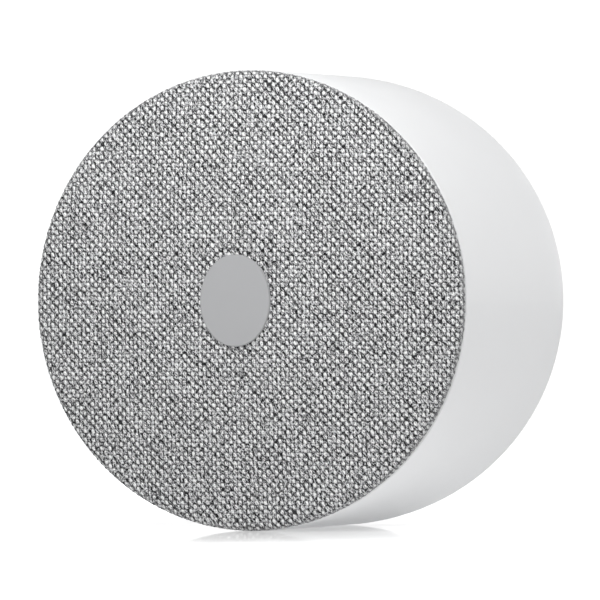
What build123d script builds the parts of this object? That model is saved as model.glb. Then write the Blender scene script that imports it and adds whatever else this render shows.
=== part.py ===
from build123d import *
import os
from math import cos, radians, sin, sqrt

os.makedirs("parts", exist_ok=True)

# A round plug-in wireless node with a loudspeaker behind its cloth front.
# All lengths are in millimetres. The origin is the centre of the rear face, which lies on the
# wall; the drum stands out from the wall along -Y, +Z is up and the blades point along +Y.
# "Distance" below is always measured from the wall towards the room, so it is -Y.

# ---------------------------------------------------------------- driving dimensions
DRUM_R = 38.0              # outside of the cloth-covered front
RIM_DISTANCE = 57.7        # where the cloth front turns over the rim
CROWN_HEIGHT = 1.8         # how far the middle of the cloth stands ahead of the rim
CLOTH = 0.5                # thickness of the stretched cloth
RIM_ROUND = 1.2            # radius of the cloth's turn over the rim
ASSEMBLY_GAP = 0.05        # gap left between pieces that are fitted together

HOUSING_R = 38.0           # flush with the cloth
HOUSING_FRONT = 56.15      # the white shell ends here, under the cloth's turned-in lip
WALL = 2.0
SHOULDER_DEPTH = 17.4      # the elliptical rear rounding, along the axis
SHOULDER_RISE = 5.5        # and across it
REAR_FLAT_R = HOUSING_R - SHOULDER_RISE

CHASSIS_SEAT = 47.0        # rear face of the chassis plate, on the housing's columns
CHASSIS_PLATE = 2.4
CHASSIS_R = 34.6
COLUMN_CIRCLE_R = 30.6
COLUMN_R = 2.8
COLUMN_ANGLES = (45, 135, 225, 315)

SPEAKER_FLANGE = 50.0      # rear face of the loudspeaker's flange
SPEAKER_R = 25.0
SPEAKER_SCREW_R = 26.2
SPEAKER_ANGLES = (0, 90, 180, 270)
MAGNET_R = 16.0
POLE_R = 6.4
YOKE_REAR = 31.0
MAGNET_REAR = 33.5
TOP_PLATE_REAR = 38.5
TOP_PLATE_FRONT = 41.0
CONE_R = 19.3

MAIN_BOARD = 27.0          # rear face of the main board
MAIN_BOARD_THICKNESS = 1.2
MAIN_BOARD_FRONT = MAIN_BOARD + MAIN_BOARD_THICKNESS
BOARD_R = 29.0
BOARD_NOTCH_R = 3.6
LEG_CIRCLE_R = 26.0
LEG_ANGLES = (20, 160, 200, 340)

POWER_BOARD = 12.0         # rear face of the power board
POWER_BOARD_THICKNESS = 1.6
POWER_BOARD_FRONT = POWER_BOARD + POWER_BOARD_THICKNESS
POST_CIRCLE_R = 25.0
POST_ANGLES = (30, 150, 210, 330)

PLUG_BASE_R = 15.85
PLUG_BASE_SEAT = 5.0
PLUG_EAR_THICKNESS = 2.0
PLUG_SCREW_Z = 21.5
BLADE_SPACING = 12.7       # centre to centre, the two-blade 125 V mains pattern
BLADE_THICKNESS = 1.52
LINE_BLADE_WIDTH = 6.35
NEUTRAL_BLADE_WIDTH = 7.94
BLADE_LENGTH = 17.0        # beyond the rear face
BLADE_TAIL = 9.0           # inside the rear face
BLADE_HOLE_R = 1.6
BLADE_HOLE_DISTANCE = 11.7

SCREW_R = 0.95
SCREW_CLEARANCE_R = 1.15
SCREW_PILOT_R = SCREW_R + ASSEMBLY_GAP
SCREW_HEAD_R = 1.9
SCREW_HEAD_HEIGHT = 1.3

BUTTON_DISTANCE = 29.8     # the reset button's axis, on the underside
BUTTON_R = 2.5
BUTTON_GUIDE_R = BUTTON_R + 0.08
BUTTON_FACE_Z = 0.3 - HOUSING_R    # a little below the drum's surface
BUTTON_COLLAR_Z = -33.35
BUTTON_INNER_Z = -29.9

ANTENNA_INNER_X = 33.0
ANTENNA_THICKNESS = 0.3
ANTENNA_HALF_WIDTH = 8.5

# radius and distance in the half plane that the round pieces are turned from
PROFILE = Plane(origin=(0, 0, 0), x_dir=(1, 0, 0), z_dir=(0, 0, -1))


def level(distance):
    """Plane parallel to the wall: x is across, y is up and its normal points to the room."""
    return Plane.XZ.offset(distance)


def turned_profile(angle):
    """The turning half plane, swung round the drum's axis by an angle in degrees."""
    a = radians(angle)
    return Plane(origin=(0, 0, 0), x_dir=(cos(a), 0, sin(a)), z_dir=(sin(a), 0, -cos(a)))


def on_circle(radius, angles):
    """Points across and up, at these angles round the drum's axis."""
    return [(radius * cos(radians(a)), radius * sin(radians(a))) for a in angles]


def dome_radius(radius, height):
    """Radius of the sphere whose cap has this outer radius and height."""
    return (radius**2 + height**2) / (2 * height)


CROWN_R = dome_radius(DRUM_R, CROWN_HEIGHT)


def crown(apex, radius, sphere_r=CROWN_R):
    """Distance from the wall, at this radius, of a dome with this apex."""
    return apex - sphere_r + sqrt(sphere_r**2 - radius**2)


def crown_points(apex, radius, sphere_r=CROWN_R):
    """Start, middle and end of a dome's arc, from the axis out to this radius."""
    return [(r, crown(apex, r, sphere_r)) for r in (0, radius / 2, radius)]


COLUMN_POINTS = on_circle(COLUMN_CIRCLE_R, COLUMN_ANGLES)
SPEAKER_POINTS = on_circle(SPEAKER_SCREW_R, SPEAKER_ANGLES)
LEG_POINTS = on_circle(LEG_CIRCLE_R, LEG_ANGLES)
POST_POINTS = on_circle(POST_CIRCLE_R, POST_ANGLES)
PLUG_SCREW_POINTS = [(0, PLUG_SCREW_Z), (0, -PLUG_SCREW_Z)]


def pan_head_screws(seat, points, outward, length):
    """Cross-recessed screws. outward is 1 where the heads face the room and -1 for the wall."""
    recess_depth = 0.7
    recess_length = 2.2
    recess_width = 0.5
    with BuildPart() as screws:
        with BuildSketch(level(seat)):
            with Locations(*points):
                Circle(SCREW_HEAD_R)
        extrude(amount=outward * SCREW_HEAD_HEIGHT)
        with BuildSketch(level(seat)):
            with Locations(*points):
                Circle(SCREW_R)
        extrude(amount=-outward * length)
        with BuildSketch(level(seat + outward * SCREW_HEAD_HEIGHT)):
            with Locations(*points):
                Rectangle(recess_length, recess_width)
                Rectangle(recess_width, recess_length)
        extrude(amount=-outward * recess_depth, mode=Mode.SUBTRACT)
    return screws


# ---------------------------------------------------------------- housing
COLUMN_PILOT_DEPTH = 10.0
POST_R = 2.6
POST_PILOT_DEPTH = 6.0
PLUG_BOSS_R = 3.0
PLUG_PILOT_DEPTH = 4.0
RIB_THICKNESS = 1.2
RIB_START = 10.0
LATCH_GROOVE_START = 51.4
LATCH_GROOVE_END = 53.0
LATCH_GROOVE_DEPTH = 0.6
FRONT_EDGE_ROUND = 0.45
COLLAR_R = 4.2
RIB_LENGTH = 3.4
RIB_CIRCLE_R = HOUSING_R - WALL - 1.4
RIB_SETBACK = 1.0          # the ribs stop this far short of the columns' tops

with BuildPart() as housing:
    with BuildSketch(PROFILE):
        with BuildLine():
            Line((0, 0), (REAR_FLAT_R, 0))
            EllipticalCenterArc(
                (REAR_FLAT_R, SHOULDER_DEPTH), SHOULDER_RISE, SHOULDER_DEPTH, start_angle=270, arc_size=90
            )
            Line((HOUSING_R, SHOULDER_DEPTH), (HOUSING_R, HOUSING_FRONT))
            Line((HOUSING_R, HOUSING_FRONT), (HOUSING_R - WALL, HOUSING_FRONT))
            Line((HOUSING_R - WALL, HOUSING_FRONT), (HOUSING_R - WALL, SHOULDER_DEPTH))
            EllipticalCenterArc(
                (REAR_FLAT_R, SHOULDER_DEPTH),
                SHOULDER_RISE - WALL,
                SHOULDER_DEPTH - WALL,
                start_angle=270,
                arc_size=90,
            )
            Line((REAR_FLAT_R, WALL), (0, WALL))
            Line((0, WALL), (0, 0))
        make_face()
    revolve(axis=Axis.Y)
    # the front edge is rounded, so the seam under the cloth reads as a fine shadow line
    fillet(housing.edges().filter_by(GeomType.CIRCLE).sort_by(Axis.Y)[:2].sort_by(SortBy.LENGTH)[-1],
           radius=FRONT_EDGE_ROUND)
    # columns for the chassis screws, tied to the side wall by ribs
    with BuildSketch(level(WALL / 2)):
        with Locations(*COLUMN_POINTS):
            Circle(COLUMN_R)
    extrude(amount=CHASSIS_SEAT - WALL / 2)
    with BuildSketch(level(RIB_START)):
        with PolarLocations(RIB_CIRCLE_R, len(COLUMN_ANGLES), start_angle=COLUMN_ANGLES[0]):
            Rectangle(RIB_LENGTH, RIB_THICKNESS)
    extrude(amount=CHASSIS_SEAT - RIB_START - RIB_SETBACK)
    with BuildSketch(level(CHASSIS_SEAT)):
        with Locations(*COLUMN_POINTS):
            Circle(SCREW_PILOT_R)
    extrude(amount=-COLUMN_PILOT_DEPTH, mode=Mode.SUBTRACT)
    # posts for the power board
    with BuildSketch(level(WALL / 2)):
        with Locations(*POST_POINTS):
            Circle(POST_R)
    extrude(amount=POWER_BOARD - WALL / 2)
    with BuildSketch(level(POWER_BOARD)):
        with Locations(*POST_POINTS):
            Circle(SCREW_PILOT_R)
    extrude(amount=-POST_PILOT_DEPTH, mode=Mode.SUBTRACT)
    # bosses for the plug base, and the round hole that it fills
    with BuildSketch(level(WALL / 2)):
        with Locations(*PLUG_SCREW_POINTS):
            Circle(PLUG_BOSS_R)
    extrude(amount=PLUG_BASE_SEAT - WALL / 2)
    with BuildSketch(level(PLUG_BASE_SEAT)):
        with Locations(*PLUG_SCREW_POINTS):
            Circle(SCREW_PILOT_R)
    extrude(amount=-PLUG_PILOT_DEPTH, mode=Mode.SUBTRACT)
    with BuildSketch(level(0)):
        Circle(PLUG_BASE_R + ASSEMBLY_GAP)
    extrude(amount=PLUG_BASE_SEAT, mode=Mode.SUBTRACT)
    # groove round the mouth for the grille frame's latches
    with BuildSketch(PROFILE):
        with Locations((HOUSING_R - WALL, (LATCH_GROOVE_START + LATCH_GROOVE_END) / 2)):
            Rectangle(2 * LATCH_GROOVE_DEPTH, LATCH_GROOVE_END - LATCH_GROOVE_START)
    revolve(axis=Axis.Y, mode=Mode.SUBTRACT)
    # guide collar and hole for the reset button, in the underside
    with BuildSketch(Plane.XY.offset(BUTTON_COLLAR_Z)):
        with Locations((0, -BUTTON_DISTANCE)):
            Circle(COLLAR_R)
    extrude(amount=-(HOUSING_R - WALL / 2 + BUTTON_COLLAR_Z))
    with BuildSketch(Plane.XY.offset(BUTTON_COLLAR_Z)):
        with Locations((0, -BUTTON_DISTANCE)):
            Circle(BUTTON_GUIDE_R)
    extrude(amount=-(HOUSING_R + BUTTON_COLLAR_Z + 1), mode=Mode.SUBTRACT)
housing.part.label = "housing"
export_step(housing.part, "parts/housing.step")

# ---------------------------------------------------------------- cloth front and its frame
CLOTH_APEX = RIM_DISTANCE + CROWN_HEIGHT
LIP_INNER_R = 35.9
LIP_REAR = HOUSING_FRONT + ASSEMBLY_GAP
LIP_FRONT = LIP_REAR + CLOTH
TURN_R = DRUM_R - RIM_ROUND          # radius at which the crowned face starts to turn over
TURN_START = crown(CLOTH_APEX, TURN_R)
INNER_TURN_R = TURN_R - 0.1
INNER_EDGE = crown(CLOTH_APEX - CLOTH, INNER_TURN_R) - 0.4
FRAME_R = DRUM_R - CLOTH - ASSEMBLY_GAP
FRAME_APEX = CLOTH_APEX - CLOTH - ASSEMBLY_GAP
FRAME_THICKNESS = 1.5
FRAME_TURN_R = FRAME_R - 0.9
FRAME_EDGE = crown(FRAME_APEX, FRAME_R) - 0.35
SKIRT_R = HOUSING_R - WALL - 0.2
SKIRT_WALL = 1.2
SKIRT_REAR = 50.6
FRAME_SEAT = LIP_FRONT + ASSEMBLY_GAP
SOUND_HOLE_R = 1.1
SOUND_HOLE_PITCH = 4.2
SOUND_FIELD_R = 32.0
LATCH_R = HOUSING_R - WALL + 0.4
LATCH_ARC = 16
LATCH_ROOT_R = SKIRT_R - 0.2
LATCH_RAMP_START = LATCH_GROOVE_START - 0.3
LATCH_RAMP_END = LATCH_GROOVE_END - 0.7
LATCH_END = LATCH_GROOVE_END - 0.1

# the cloth is stretched over the frame's crown and rim, and its edge is turned in behind
with BuildPart() as grille_fabric:
    with BuildSketch(PROFILE):
        with BuildLine():
            ThreePointArc(*crown_points(CLOTH_APEX, TURN_R))
            RadiusArc((TURN_R, TURN_START), (DRUM_R, TURN_START - RIM_ROUND), RIM_ROUND, short_sagitta=True)
            Line((DRUM_R, TURN_START - RIM_ROUND), (DRUM_R, LIP_REAR))
            Line((DRUM_R, LIP_REAR), (LIP_INNER_R, LIP_REAR))
            Line((LIP_INNER_R, LIP_REAR), (LIP_INNER_R, LIP_FRONT))
            Line((LIP_INNER_R, LIP_FRONT), (DRUM_R - CLOTH, LIP_FRONT))
            Line((DRUM_R - CLOTH, LIP_FRONT), (DRUM_R - CLOTH, INNER_EDGE))
            Line((DRUM_R - CLOTH, INNER_EDGE), (INNER_TURN_R, crown(CLOTH_APEX - CLOTH, INNER_TURN_R)))
            ThreePointArc(*reversed(crown_points(CLOTH_APEX - CLOTH, INNER_TURN_R)))
            Line((0, CLOTH_APEX - CLOTH), (0, CLOTH_APEX))
        make_face()
    revolve(axis=Axis.Y)
grille_fabric.part.label = "grille_fabric"
export_step(grille_fabric.part, "parts/grille_fabric.step")

# rows of sound holes, staggered by half a pitch, as far out as the sound field reaches
ROW_PITCH = SOUND_HOLE_PITCH * sqrt(3) / 2
ROWS = int(SOUND_FIELD_R / ROW_PITCH)
sound_points = []
for row in range(-ROWS, ROWS + 1):
    shift = SOUND_HOLE_PITCH / 2 if row % 2 else 0
    for column in range(-ROWS, ROWS + 1):
        x = column * SOUND_HOLE_PITCH + shift
        z = row * ROW_PITCH
        if sqrt(x**2 + z**2) <= SOUND_FIELD_R:
            sound_points.append((x, z))

with BuildPart() as grille_frame:
    with BuildSketch(PROFILE):
        with BuildLine():
            ThreePointArc(*crown_points(FRAME_APEX, FRAME_TURN_R))
            Line((FRAME_TURN_R, crown(FRAME_APEX, FRAME_TURN_R)), (FRAME_R, FRAME_EDGE))
            Line((FRAME_R, FRAME_EDGE), (FRAME_R, FRAME_SEAT))
            Line((FRAME_R, FRAME_SEAT), (SKIRT_R, FRAME_SEAT))
            Line((SKIRT_R, FRAME_SEAT), (SKIRT_R, SKIRT_REAR))
            Line((SKIRT_R, SKIRT_REAR), (SKIRT_R - SKIRT_WALL, SKIRT_REAR))
            Line(
                (SKIRT_R - SKIRT_WALL, SKIRT_REAR),
                (SKIRT_R - SKIRT_WALL, crown(FRAME_APEX - FRAME_THICKNESS, SKIRT_R - SKIRT_WALL)),
            )
            ThreePointArc(*reversed(crown_points(FRAME_APEX - FRAME_THICKNESS, SKIRT_R - SKIRT_WALL)))
            Line((0, FRAME_APEX - FRAME_THICKNESS), (0, FRAME_APEX))
        make_face()
    revolve(axis=Axis.Y)
    with BuildSketch(level(CLOTH_APEX)):
        with Locations(*sound_points):
            Circle(SOUND_HOLE_R)
    extrude(amount=-(CLOTH_APEX - SKIRT_REAR), mode=Mode.SUBTRACT)
    # wedge latches that click into the housing's groove
    for angle in COLUMN_ANGLES:
        with BuildSketch(turned_profile(angle - LATCH_ARC / 2)):
            with BuildLine():
                Polyline(
                    (LATCH_ROOT_R, LATCH_RAMP_START),
                    (SKIRT_R, LATCH_RAMP_START),
                    (LATCH_R, LATCH_RAMP_END),
                    (LATCH_R, LATCH_END),
                    (LATCH_ROOT_R, LATCH_END),
                    close=True,
                )
            make_face()
        revolve(axis=Axis.Y, revolution_arc=-LATCH_ARC)
grille_frame.part.label = "grille_frame"
export_step(grille_frame.part, "parts/grille_frame.step")

# ---------------------------------------------------------------- badge, a plain oval plate
BADGE_X = -1.3
BADGE_HALF_WIDTH = 6.2
BADGE_HALF_HEIGHT = 7.6
BADGE_THICKNESS = 0.5
BADGE_REAR = CLOTH_APEX + 0.02
BADGE_EDGE = 0.15

with BuildPart() as badge:
    with BuildSketch(level(BADGE_REAR)):
        with Locations((BADGE_X, 0)):
            Ellipse(BADGE_HALF_WIDTH, BADGE_HALF_HEIGHT)
    extrude(amount=BADGE_THICKNESS)
    chamfer(badge.faces().sort_by(Axis.Y)[0].edges(), length=BADGE_EDGE)
badge.part.label = "badge"
export_step(badge.part, "parts/badge.step")

# ---------------------------------------------------------------- chassis
CHASSIS_OPENING_R = 22.8
CHASSIS_RIM = 1.2
CHASSIS_RIM_HEIGHT = 0.8
LEG_R = 2.2
LEG_PILOT_DEPTH = 9.0
SPEAKER_BOSS_R = 2.3
SPEAKER_BOSS_REAR = 42.0
ARM_THICKNESS = 1.4
ARM_REAR = 33.0
LIGHT_PIPE_R = 1.2
LIGHT_PIPE_POINT = on_circle(27.3, [247.5])[0]
LIGHT_PIPE_REAR = MAIN_BOARD_FRONT + 1.1
LIGHT_PIPE_FRONT = 54.8
CHASSIS_FRONT = CHASSIS_SEAT + CHASSIS_PLATE

with BuildPart() as chassis:
    with BuildSketch(level(CHASSIS_SEAT)):
        Circle(CHASSIS_R)
    extrude(amount=CHASSIS_PLATE)
    with BuildSketch(level(CHASSIS_FRONT)):
        Circle(CHASSIS_R)
        Circle(CHASSIS_R - CHASSIS_RIM, mode=Mode.SUBTRACT)
    extrude(amount=CHASSIS_RIM_HEIGHT)
    # legs that carry the main board
    with BuildSketch(level(MAIN_BOARD_FRONT)):
        with Locations(*LEG_POINTS):
            Circle(LEG_R)
    extrude(amount=CHASSIS_SEAT - MAIN_BOARD_FRONT)
    with BuildSketch(level(MAIN_BOARD_FRONT)):
        with Locations(*LEG_POINTS):
            Circle(SCREW_PILOT_R)
    extrude(amount=LEG_PILOT_DEPTH, mode=Mode.SUBTRACT)
    # bosses under the loudspeaker's screws
    with BuildSketch(level(SPEAKER_BOSS_REAR)):
        with Locations(*SPEAKER_POINTS):
            Circle(SPEAKER_BOSS_R)
    extrude(amount=CHASSIS_SEAT - SPEAKER_BOSS_REAR)
    # flat arms that hold the antennas beside the wall
    with BuildSketch(level(ARM_REAR)):
        for side in (-1, 1):
            with Locations((side * (ANTENNA_INNER_X - ARM_THICKNESS / 2), 0)):
                Rectangle(ARM_THICKNESS, 2 * ANTENNA_HALF_WIDTH)
    extrude(amount=CHASSIS_SEAT - ARM_REAR)
    # openings through the plate
    with BuildSketch(level(CHASSIS_FRONT)):
        Circle(CHASSIS_OPENING_R)
        with Locations(*COLUMN_POINTS):
            Circle(SCREW_CLEARANCE_R)
        with Locations(LIGHT_PIPE_POINT):
            Circle(LIGHT_PIPE_R + ASSEMBLY_GAP)
    extrude(amount=-CHASSIS_PLATE, mode=Mode.SUBTRACT)
    with BuildSketch(level(CHASSIS_FRONT)):
        with Locations(*SPEAKER_POINTS):
            Circle(SCREW_PILOT_R)
    extrude(amount=-(CHASSIS_FRONT - SPEAKER_BOSS_REAR), mode=Mode.SUBTRACT)
chassis.part.label = "chassis"
export_step(chassis.part, "parts/chassis.step")

CHASSIS_SCREW_LENGTH = 10.0
chassis_screws = pan_head_screws(CHASSIS_FRONT, COLUMN_POINTS, 1, CHASSIS_SCREW_LENGTH)
chassis_screws.part.label = "chassis_screws"
export_step(chassis_screws.part, "parts/chassis_screws.step")

with BuildPart() as light_pipe:
    with BuildSketch(level(LIGHT_PIPE_REAR)):
        with Locations(LIGHT_PIPE_POINT):
            Circle(LIGHT_PIPE_R)
    extrude(amount=LIGHT_PIPE_FRONT - LIGHT_PIPE_REAR)
light_pipe.part.label = "light_pipe"
export_step(light_pipe.part, "parts/light_pipe.step")

# ---------------------------------------------------------------- loudspeaker, fixed pieces
FLANGE_THICKNESS = 1.2
FLANGE_FRONT = SPEAKER_FLANGE + FLANGE_THICKNESS
FLANGE_INNER_R = 21.4
BASKET_FLOOR_R = 18.6
BASKET_CENTRE_R = 9.5
BASKET_METAL = 1.0
SPIDER_SHELF_R = 15.8
SPIDER_SHELF = 43.2
LOBE_R = 2.6
MAGNET_HOLE_R = 9.0
GAP_R = 7.65
WINDOWS = 6
WINDOW_CIRCLE_R = 20.5
WINDOW_WIDTH = 6.4         # along the radius
WINDOW_LENGTH = 12.0
WINDOW_START = 44.0
WINDOW_DEPTH = 5.0

with BuildPart() as speaker_gasket:
    with BuildSketch(level(CHASSIS_FRONT)):
        Circle(SPEAKER_R)
        Circle(CHASSIS_OPENING_R + 0.1, mode=Mode.SUBTRACT)
    extrude(amount=SPEAKER_FLANGE - CHASSIS_FRONT)
speaker_gasket.part.label = "speaker_gasket"
export_step(speaker_gasket.part, "parts/speaker_gasket.step")

with BuildPart() as speaker_basket:
    with BuildSketch(PROFILE):
        with BuildLine():
            Polyline(
                (SPEAKER_R, FLANGE_FRONT),
                (SPEAKER_R, SPEAKER_FLANGE),
                (FLANGE_INNER_R + 1.2, SPEAKER_FLANGE),
                (BASKET_FLOOR_R, TOP_PLATE_FRONT),
                (BASKET_CENTRE_R, TOP_PLATE_FRONT),
                (BASKET_CENTRE_R, TOP_PLATE_FRONT + BASKET_METAL),
                (SPIDER_SHELF_R, TOP_PLATE_FRONT + BASKET_METAL),
                (SPIDER_SHELF_R, SPIDER_SHELF),
                (BASKET_FLOOR_R - 0.7, SPIDER_SHELF),
                (FLANGE_INNER_R, FLANGE_FRONT),
                close=True,
            )
        make_face()
    revolve(axis=Axis.Y)
    with BuildSketch(level(SPEAKER_FLANGE)):
        with Locations(*SPEAKER_POINTS):
            Circle(LOBE_R)
    extrude(amount=FLANGE_THICKNESS)
    # screw holes in the lobes, and windows between the basket's spokes
    with BuildSketch(level(FLANGE_FRONT)):
        with Locations(*SPEAKER_POINTS):
            Circle(SCREW_CLEARANCE_R)
    extrude(amount=-FLANGE_THICKNESS, mode=Mode.SUBTRACT)
    with BuildSketch(level(WINDOW_START)):
        with PolarLocations(WINDOW_CIRCLE_R, WINDOWS, start_angle=180 / WINDOWS):
            Rectangle(WINDOW_WIDTH, WINDOW_LENGTH)
    extrude(amount=WINDOW_DEPTH, mode=Mode.SUBTRACT)
speaker_basket.part.label = "speaker_basket"
export_step(speaker_basket.part, "parts/speaker_basket.step")

SPEAKER_SCREW_LENGTH = 7.0
speaker_screws = pan_head_screws(FLANGE_FRONT, SPEAKER_POINTS, 1, SPEAKER_SCREW_LENGTH)
speaker_screws.part.label = "speaker_screws"
export_step(speaker_screws.part, "parts/speaker_screws.step")

with BuildPart() as speaker_yoke:
    with BuildSketch(level(YOKE_REAR)):
        Circle(MAGNET_R - 0.5)
    extrude(amount=MAGNET_REAR - YOKE_REAR)
    with BuildSketch(level(MAGNET_REAR)):
        Circle(POLE_R)
    extrude(amount=TOP_PLATE_FRONT - MAGNET_REAR)
    chamfer(speaker_yoke.edges().filter_by(GeomType.CIRCLE).group_by(Axis.Y)[-1], length=0.4)
speaker_yoke.part.label = "speaker_yoke"
export_step(speaker_yoke.part, "parts/speaker_yoke.step")

with BuildPart() as speaker_magnet:
    with BuildSketch(level(MAGNET_REAR)):
        Circle(MAGNET_R)
        Circle(MAGNET_HOLE_R, mode=Mode.SUBTRACT)
    extrude(amount=TOP_PLATE_REAR - MAGNET_REAR)
speaker_magnet.part.label = "speaker_magnet"
export_step(speaker_magnet.part, "parts/speaker_magnet.step")

with BuildPart() as speaker_top_plate:
    with BuildSketch(level(TOP_PLATE_REAR)):
        Circle(MAGNET_R - 0.5)
        Circle(GAP_R, mode=Mode.SUBTRACT)
    extrude(amount=TOP_PLATE_FRONT - TOP_PLATE_REAR)
speaker_top_plate.part.label = "speaker_top_plate"
export_step(speaker_top_plate.part, "parts/speaker_top_plate.step")

# ---------------------------------------------------------------- loudspeaker, moving pieces
COIL_INNER_R = 6.75
FORMER_WALL = 0.2
WINDING_WALL = 0.3
COIL_REAR = 37.0
WINDING_FRONT = 42.0
CONE_NECK = 44.2
CONE_THICKNESS = 0.5
CONE_MIDDLE = (13.5, 48.1)
CONE_EDGE = FLANGE_FRONT - 0.3
FORMER_R = COIL_INNER_R + FORMER_WALL
CONE_NECK_R = FORMER_R + ASSEMBLY_GAP
FORMER_FRONT = 44.8

with BuildPart() as voice_coil:
    with BuildSketch(PROFILE):
        with BuildLine():
            Polyline(
                (COIL_INNER_R, COIL_REAR),
                (FORMER_R + WINDING_WALL, COIL_REAR),
                (FORMER_R + WINDING_WALL, WINDING_FRONT),
                (FORMER_R, WINDING_FRONT),
                (FORMER_R, FORMER_FRONT),
                (COIL_INNER_R, FORMER_FRONT),
                close=True,
            )
        make_face()
    revolve(axis=Axis.Y)
voice_coil.part.label = "voice_coil"
export_step(voice_coil.part, "parts/voice_coil.step")

with BuildPart() as speaker_cone:
    with BuildSketch(PROFILE):
        with BuildLine():
            Line((CONE_NECK_R, CONE_NECK + CONE_THICKNESS), (CONE_NECK_R, CONE_NECK))
            ThreePointArc((CONE_NECK_R, CONE_NECK), CONE_MIDDLE, (CONE_R, CONE_EDGE))
            Line((CONE_R, CONE_EDGE), (CONE_R, CONE_EDGE + CONE_THICKNESS))
            ThreePointArc(
                (CONE_R, CONE_EDGE + CONE_THICKNESS),
                (CONE_MIDDLE[0], CONE_MIDDLE[1] + CONE_THICKNESS),
                (CONE_NECK_R, CONE_NECK + CONE_THICKNESS),
            )
        make_face()
    revolve(axis=Axis.Y)
speaker_cone.part.label = "speaker_cone"
export_step(speaker_cone.part, "parts/speaker_cone.step")

DUST_CAP_R = 8.2
DUST_CAP_HEIGHT = 2.4
DUST_CAP_APEX = 48.3
DUST_CAP_SKIN = 0.4
DUST_CAP_SPHERE = dome_radius(DUST_CAP_R, DUST_CAP_HEIGHT)
dust_cap_front = crown_points(DUST_CAP_APEX, DUST_CAP_R, DUST_CAP_SPHERE)
dust_cap_rear = crown_points(DUST_CAP_APEX - DUST_CAP_SKIN, DUST_CAP_R, DUST_CAP_SPHERE)
with BuildPart() as dust_cap:
    with BuildSketch(PROFILE):
        with BuildLine():
            ThreePointArc(*dust_cap_front)
            Line(dust_cap_front[-1], dust_cap_rear[-1])
            ThreePointArc(*reversed(dust_cap_rear))
            Line(dust_cap_rear[0], dust_cap_front[0])
        make_face()
    revolve(axis=Axis.Y)
dust_cap.part.label = "dust_cap"
export_step(dust_cap.part, "parts/dust_cap.step")

# the half-roll surround, from the cone's edge to its foot on the flange
ROLL_CENTRE_R = 20.4
ROLL_R = 1.05
ROLL_END_ANGLE = 20        # where the roll runs out into the flat foot
SKIN = 0.35
SURROUND_FOOT_R = 23.2
SURROUND_FLOOR = FLANGE_FRONT + ASSEMBLY_GAP
with BuildPart() as speaker_surround:
    with BuildSketch(PROFILE):
        with BuildLine():
            Line((SURROUND_FOOT_R, SURROUND_FLOOR), (ROLL_CENTRE_R + ROLL_R - SKIN, SURROUND_FLOOR))
            CenterArc((ROLL_CENTRE_R, SURROUND_FLOOR), ROLL_R - SKIN, 0, 180)
            Line((ROLL_CENTRE_R - ROLL_R + SKIN, SURROUND_FLOOR), (ROLL_CENTRE_R - ROLL_R, SURROUND_FLOOR))
            CenterArc((ROLL_CENTRE_R, SURROUND_FLOOR), ROLL_R, 180, ROLL_END_ANGLE - 180)
            roll_end = (
                ROLL_CENTRE_R + ROLL_R * cos(radians(ROLL_END_ANGLE)),
                SURROUND_FLOOR + ROLL_R * sin(radians(ROLL_END_ANGLE)),
            )
            Line(roll_end, (SURROUND_FOOT_R, SURROUND_FLOOR + SKIN))
            Line((SURROUND_FOOT_R, SURROUND_FLOOR + SKIN), (SURROUND_FOOT_R, SURROUND_FLOOR))
        make_face()
    revolve(axis=Axis.Y)
speaker_surround.part.label = "speaker_surround"
export_step(speaker_surround.part, "parts/speaker_surround.step")

# the corrugated spider that centres the voice coil, glued on the basket's shelf
SPIDER_WAVES = 8
SPIDER_SKIN = 0.3
SPIDER_WAVE_HEIGHT = 0.35
SPIDER_FOOT_R = 17.2
spider_rear = []
for step in range(SPIDER_WAVES + 1):
    r = CONE_NECK_R + (SPIDER_SHELF_R - 0.4 - CONE_NECK_R) * step / SPIDER_WAVES
    wave = SPIDER_WAVE_HEIGHT if step % 2 else -SPIDER_WAVE_HEIGHT
    spider_rear.append((r, SPIDER_SHELF - 0.1 + wave))
spider_rear.append((SPIDER_SHELF_R - 0.1, SPIDER_SHELF + ASSEMBLY_GAP))
spider_rear.append((SPIDER_FOOT_R, SPIDER_SHELF + ASSEMBLY_GAP))
spider_front = [(r, distance + SPIDER_SKIN) for r, distance in reversed(spider_rear)]
with BuildPart() as speaker_spider:
    with BuildSketch(PROFILE):
        with BuildLine():
            Polyline(*spider_rear, *spider_front, close=True)
        make_face()
    revolve(axis=Axis.Y)
speaker_spider.part.label = "speaker_spider"
export_step(speaker_spider.part, "parts/speaker_spider.step")

# ---------------------------------------------------------------- loudspeaker wiring
LEAD_R = 0.5
LEAD_SPACING = 3.6
TERMINAL_THICKNESS = 1.0
TERMINAL_WIDTH = 8.0
TERMINAL_HEIGHT = 5.6
TERMINAL_Z = 19.2
CONNECTOR_WIDTH = 7.0
CONNECTOR_HEIGHT = 4.4
CONNECTOR_Z = 22.0
CONNECTOR_FRONT = 30.9
with BuildPart() as speaker_terminals:
    with BuildSketch(level(TOP_PLATE_FRONT - TERMINAL_THICKNESS)):
        with Locations((0, TERMINAL_Z)):
            RectangleRounded(TERMINAL_WIDTH, TERMINAL_HEIGHT, 0.6)
    extrude(amount=TERMINAL_THICKNESS)
speaker_terminals.part.label = "speaker_terminals"
export_step(speaker_terminals.part, "parts/speaker_terminals.step")

with BuildPart() as speaker_connector:
    with BuildSketch(level(MAIN_BOARD_FRONT)):
        with Locations((0, CONNECTOR_Z)):
            Rectangle(CONNECTOR_WIDTH, CONNECTOR_HEIGHT)
    extrude(amount=CONNECTOR_FRONT - MAIN_BOARD_FRONT)
    chamfer(speaker_connector.edges().filter_by(Axis.Y), length=0.4)
speaker_connector.part.label = "speaker_connector"
export_step(speaker_connector.part, "parts/speaker_connector.step")

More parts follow.
